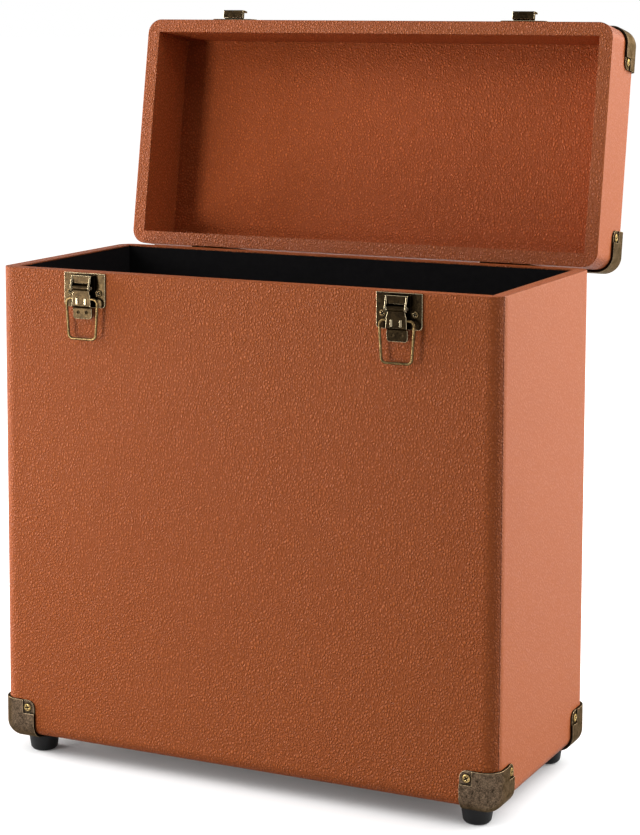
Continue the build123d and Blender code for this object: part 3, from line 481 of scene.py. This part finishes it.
def floor_finish():
    """Pale floor that keeps the case's shadow, glows white round it with a painted shadow near and under
    the case, and throws back little light.
    """
    finish = Finish("studio_floor")
    tree = finish.tree
    seen = seen_straight(tree)
    pale = finish.tint(finish.noise(3.0, 2.0, 0.5), (0.80, 0.80, 0.80, 1.0), (0.83, 0.83, 0.83, 1.0))
    away = finish.step("ShaderNodeVectorMath", {0: finish.place}, "Value", operation="LENGTH")
    # Painted shadow: where it is seen, the floor glows less towards the middle of the case, from 1 far
    # off down to 0.62.
    glowing = finish.spread(away, 0.2, 0.8, 0.62, 1.0)
    # Painted shadow: the glow fades further where the case stands close above the floor.
    painted_floor_shadow = finish.hollows(0.09, 0.0, 1.15)
    glowing = finish.maths("MULTIPLY", glowing, finish.maths("SUBTRACT", 1.0, painted_floor_shadow))
    matt = tree.nodes.new("ShaderNodeBsdfDiffuse")
    glow = tree.nodes.new("ShaderNodeEmission")
    both = tree.nodes.new("ShaderNodeAddShader")
    finish.give(matt.inputs["Color"], finish.tint(seen, (0.25, 0.25, 0.25, 1.0), pale))
    finish.give(glow.inputs["Strength"], finish.maths("MULTIPLY", seen, glowing))
    finish.give(both.inputs[0], matt.outputs[0])
    finish.give(both.inputs[1], glow.outputs[0])
    tree.links.new(both.outputs[0], tree.nodes["Material Output"].inputs["Surface"])
    return finish.material


def studio_floor():
    """Wide round floor under the feet: rings of points about the case, all at the feet's height."""
    rows, columns = 12, 96
    first, last = 0.05, 30.0
    radius = np.geomspace(first, last, rows) - first
    turn = np.linspace(0.0, 2 * np.pi, columns, endpoint=False)
    points = np.stack([
        radius[:, None] * np.cos(turn), radius[:, None] * np.sin(turn),
        np.full((rows, columns), FLOOR_HEIGHT * MM)], axis=-1)
    floor = mesh_piece("studio_floor", points, rows, columns, floor_finish())
    close_poles(floor)


def soft_box(name, place, target, width, height, power):
    """Rectangular lamp that faces its target. Its size is in metres and its power in watts."""
    data = bpy.data.lights.new(name, "AREA")
    data.shape = "RECTANGLE"
    data.size, data.size_y, data.energy = width, height, power
    lamp = bpy.data.objects.new(name, data)
    bpy.context.scene.collection.objects.link(lamp)
    lamp.location = place
    lamp.rotation_euler = (Vector(target) - Vector(place)).to_track_quat("-Z", "Y").to_euler()


def studio_light():
    """Key behind on the right, softer lamps on both sides, a card that the left latch mirrors.

    The room is white where it is seen and gives little light.
    """
    middle = (0.0, 0.0, 0.2)
    left_latch = (-0.11, -0.08, 0.3)
    soft_box("key", (1.1, 1.2, 1.0), middle, 1.2, 1.2, 42.0)
    soft_box("right_side", (1.6, -0.1, 0.7), middle, 0.6, 0.8, 8.0)
    soft_box("high_left", (-1.1, -0.9, 1.1), middle, 0.8, 0.8, 12.0)
    soft_box("left_side", (-1.6, -0.2, 0.5), middle, 0.8, 0.8, 26.0)
    soft_box("left_card", (-0.575, -0.846, 0.19), left_latch, 0.2, 0.3, 5.2)
    soft_box("top", (0.1, -0.5, 1.9), middle, 1.2, 1.2, 4.0)
    room_light = 0.05
    world = bpy.data.worlds.new("studio_room")
    bpy.context.scene.world = world
    world.use_nodes = True
    tree = world.node_tree
    room = tree.nodes["Background"]
    room.inputs["Color"].default_value = (1.0, 1.0, 1.0, 1.0)
    level = tree.nodes.new("ShaderNodeMapRange")
    level.inputs["To Min"].default_value = room_light
    level.inputs["To Max"].default_value = 1.0
    tree.links.new(seen_straight(tree), level.inputs["Value"])
    tree.links.new(level.outputs[0], room.inputs["Strength"])
    bpy.context.scene.view_settings.view_transform = "Standard"


studio_camera()
studio_floor()
studio_light()

# ---------------------------------------------------------------- finishes on the frame's own nodes

LEATHER_SHADES = shade(171, 87, 36), shade(113, 49, 15), shade(178, 94, 42)
case_leather = leatherette("case_leatherette", *LEATHER_SHADES, seamed=True)
end_leather = leatherette("case_end_leatherette", *LEATHER_SHADES, gloss=0.36, seamed=True)
lid_leather = leatherette("lid_outside_leatherette", *LEATHER_SHADES, gloss=0.28)
# Leather cloth inside the lid: a lighter, more orange copy of the outside cloth, lightened as painted
# light on the inside of the lid.
inner_leather = leatherette(
    "lid_inside_leatherette", shade(190, 93, 40), shade(116, 48, 17), shade(196, 100, 46), grain=1.1)
grip_leather = leatherette(
    "grip_leatherette", shade(166, 82, 40), shade(108, 47, 20), shade(172, 89, 46),
    edge=0.0003, gloss=0.18)
# Corner metal: the pockets round its screws darken nearly to black, partly as patina and partly as
# painted shade.
corner_metal = antique_metal(
    "antique_corner", shade(34, 27, 20), shade(104, 87, 70), shade(206, 180, 142), 1150.0, 0.0006,
    wear_and_highlight_share=0.75, soil_and_shade=(0.004, 0.06, 0.3))
LATCH_SHADES = shade(17, 12, 7), shade(46, 36, 22), shade(234, 214, 176)
latch_metal = antique_metal(
    "antique_brass", *LATCH_SHADES, 900.0, 0.0006,
    wear_and_highlight_share=0.85, broken=0.85, rough=(0.27, 0.2), fold=0.00026)
lever_metal = antique_metal(
    "antique_lever", *LATCH_SHADES, 900.0, 0.0005,
    wear_and_highlight_share=0.85, broken=0.85, rough=(0.27, 0.2), fold=0.00026,
    proud=(RIB_FACE * MM, RIB_CREST * MM, RIB_TOP * MM))
bail_metal = antique_metal(
    "antique_bail", shade(58, 45, 27), shade(112, 92, 60), shade(232, 210, 162), 1200.0, 0.0004,
    wear_and_highlight_share=0.5, rough=(0.24, 0.18))
# Reach and shares of the darkening round the screws' heads: dark patina and a painted contact shadow.
SCREW_SOIL_AND_SHADE = (0.001, 0.4, 0.8)
corner_screw_metal = antique_metal(
    "corner_screw_brass", shade(96, 78, 46), shade(176, 148, 96), shade(240, 220, 170), 1500.0, 0.0003,
    wear_and_highlight_share=0.8, rough=(0.3, 0.22), soil_and_shade=SCREW_SOIL_AND_SHADE, sunk=True)
screw_metal = antique_metal(
    "screw_brass", shade(40, 31, 18), shade(112, 92, 62), shade(238, 218, 178), 1500.0, 0.0003,
    wear_and_highlight_share=0.85, rough=(0.26, 0.2), soil_and_shade=SCREW_SOIL_AND_SHADE, sunk=True)
board = bare_board("fibreboard")
cloth = lining_cloth("lining_cloth")
rubber = black_rubber("rubber")
steel = bright_steel("plated_steel")
thread = sewing_thread("sewing_thread")

# Finish of each material slot, and of the nodes that have one of their own
FINISHES = {
    "leatherette": case_leather,
    "lid_leatherette": inner_leather,
    "grip_leatherette": grip_leather,
    "board": board,
    "lining": cloth,
    "rubber": rubber,
    "antique_corner": corner_metal,
    "antique_brass": latch_metal,
    "screw_brass": screw_metal,
    "steel": steel,
}
OWN_FINISHES = {
    "cover_left": end_leather,
    "cover_right": end_leather,
    "lid_cover": lid_leather,
    "latch_lever_left": lever_metal,
    "latch_lever_right": lever_metal,
    "latch_bail_left": bail_metal,
    "latch_bail_right": bail_metal,
}
slots = {part["node"]: part["material_slot"] for part in frame["record"]["subparts"]}
for name, piece in nodes.items():
    piece.data.materials.clear()
    piece.data.materials.append(OWN_FINISHES.get(name, FINISHES[slots[name]]))

# ---------------------------------------------------------------- screws

SIGNS = [(-1, -1), (1, -1), (-1, 1), (1, 1)]
TURNS = [12, 57, 33, 78, 5, 41, 66, 24, 83, 50, 19, 71]


def seated(places):
    """Seats with the cross of each screw stopped at its own turn."""
    return [(point, outward, TURNS[i % len(TURNS)]) for i, (point, outward) in enumerate(places)]


def across(middle, holes, place, outward):
    """Places of the holes on the left and the right fitting, each this far beside its middle."""
    return [((side * middle + offset, *place), outward) for side in (-1, 1) for offset in holes]


IN_X, IN_Y, IN_Z = CORNER_SCREW_IN
SCREW_X, SCREW_Y = HALF_WIDTH - IN_X, HALF_DEPTH - IN_Y
corner_places = [
    place for sx, sy in SIGNS for place in (
        ((sx * SCREW_X, sy * (HALF_DEPTH + CORNER_SEAT), IN_Z), (0, sy, 0)),
        ((sx * (HALF_WIDTH + CORNER_SEAT), sy * SCREW_Y, IN_Z), (sx, 0, 0)))]
lid_corner_places = [((x, y, LID_TOP - z), outward) for (x, y, z), outward in corner_places] + [
    ((sx * SCREW_X, sy * SCREW_Y, LID_TOP + CORNER_SEAT), (0, 0, 1)) for sx, sy in SIGNS]
latch_places = across(LATCH_X, LATCH_HOLES, (-HALF_DEPTH - LATCH_SEAT, LATCH_HOLE_Z), (0, -1, 0))
catch_places = across(LATCH_X, CATCH_HOLES, (-HALF_DEPTH - CATCH_SEAT, CATCH_HOLE_Z), (0, -1, 0))
hinge_body_places, hinge_lid_places = (
    [((side * HINGE_X + offset, HALF_DEPTH + HINGE_SEAT, height), (0, 1, 0))
     for side in (-1, 1) for offset, height in holes]
    for holes in (HINGE_BODY_HOLES, HINGE_LID_HOLES))
handle_places = [
    ((side * HANDLE_X, offset, LID_TOP + HANDLE_SEAT), (0, 0, 1))
    for side in (-1, 1) for offset in HANDLE_HOLES]
foot_places = [((sx * FOOT_X, sy * FOOT_Y, FOOT_SEAT_Z), (0, 0, -1)) for sx, sy in SIGNS]

SCREW_GROUPS = (
    ("corner_screws_body", corner_places, CORNER_HEAD, "body_corner_screws", "case", corner_screw_metal),
    ("corner_screws_lid", lid_corner_places, CORNER_HEAD, "lid_corner_screws", "lid", corner_screw_metal),
    ("latch_plate_screws", latch_places, PLATE_HEAD, "latch_screws", "case", screw_metal),
    ("catch_plate_screws", catch_places, PLATE_HEAD, "catch_screws", "lid", screw_metal),
    ("hinge_screws_body", hinge_body_places, PLATE_HEAD, "hinge_body_screws", "case", screw_metal),
    ("hinge_screws_lid", hinge_lid_places, PLATE_HEAD, "hinge_lid_screws", "lid", screw_metal),
    ("handle_bracket_screws", handle_places, PLATE_HEAD, "handle_screws", "lid", screw_metal),
    ("foot_recess_screws", foot_places, CORNER_HEAD, "foot_screws", "case", steel),
)
for name, places, head, node, body, material in SCREW_GROUPS:
    screws(name, seated(places), head, node, body, material)

# ---------------------------------------------------------------- handle grip

def grip_section(along, turn):
    """Point of the grip's skin at a place along it and a turn round it, without its sewn channels.

    The section is an ellipse that fills out towards the middle of the grip, a little flatter
    on the side where the channels run.
    """
    fill = 1.0 - 0.2 * (along / GRIP_HALF) ** 2
    y = GRIP_WIDE * fill * np.cos(turn)
    z = GRIP_THICK * fill * np.sin(turn)
    return y, np.where(z > 0, z * 0.93, z)


def padded_grip():
    """Leatherette sleeve over a padded core, with two sewn channels along one side.

    The skin is the grip's section, sunk towards the middle line in each channel by a bell
    curve of the turn, deepest between two stitches, where the thread pulls it in. Each end
    closes to one point.
    """
    rows, columns = 176, 96
    half_channel = 0.12
    along = np.linspace(-GRIP_HALF, GRIP_HALF, rows)[:, None]
    turn = np.linspace(0.0, 2 * np.pi, columns, endpoint=False)[None, :]
    y, z = grip_section(along, turn)
    pucker = 0.5 + 0.5 * np.cos(2 * np.pi * along / STITCH_PITCH)
    sink = np.zeros_like(y)
    for channel in CHANNELS:
        away = (turn - channel) / half_channel
        sink = sink + (0.32 + 0.16 * pucker) * np.exp(-away ** 2)
    size = np.hypot(y, z)
    y = y * (1 - sink / size)
    z = z * (1 - sink / size)
    x = np.broadcast_to(along, y.shape)
    points = np.stack([x, GRIP_Y + y, GRIP_Z + z], axis=-1)
    ends = [np.broadcast_to([side * GRIP_HALF, GRIP_Y, GRIP_Z], (1, columns, 3)) for side in (-1, 1)]
    points = np.concatenate([ends[0], points, ends[1]])
    grip = mesh_piece("padded_grip", points * MM, rows + 2, columns, grip_leather)
    close_poles(grip)
    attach(grip, "handle")
    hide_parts("handle_grip")


def grip_stitches():
    """Thread between the holes of both channels, with both ends of each stitch sunk.

    A stitch is a tube along its channel. Its line runs level with the grip's section at its
    middle and dips under it by the fourth power of the run from there, and the tube thins
    to nothing at both ends.
    """
    rows, columns = 12, 8
    bare_end = 2.0
    count = int(2 * (GRIP_HALF - bare_end) / STITCH_PITCH)
    middles = (np.arange(count) - (count - 1) / 2) * STITCH_PITCH
    copies = []
    run = np.linspace(-1.0, 1.0, rows)[:, None]
    turn = np.linspace(0.0, 2 * np.pi, columns, endpoint=False)[None, :]
    rise = -0.42 + 0.42 * (1 - run ** 4)
    thick = 0.33 * np.sqrt(1 - run ** 6)
    for channel in CHANNELS:
        for middle in middles:
            along = middle + run * STITCH_PITCH * 0.42
            y, z = grip_section(along, channel)
            size = np.hypot(y, z)
            out_y, out_z = y / size, z / size
            outward, sideways = rise + thick * np.cos(turn), thick * np.sin(turn)
            copies.append(np.stack([
                np.broadcast_to(along, (rows, columns)),
                GRIP_Y + y + out_y * outward - out_z * sideways,
                GRIP_Z + z + out_z * outward + out_y * sideways], axis=-1))
    piece = mesh_piece("grip_stitches", np.stack(copies) * MM, rows, columns, thread, copies=len(copies))
    close_poles(piece, merge=0.000002)
    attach(piece, "handle")


padded_grip()
grip_stitches()
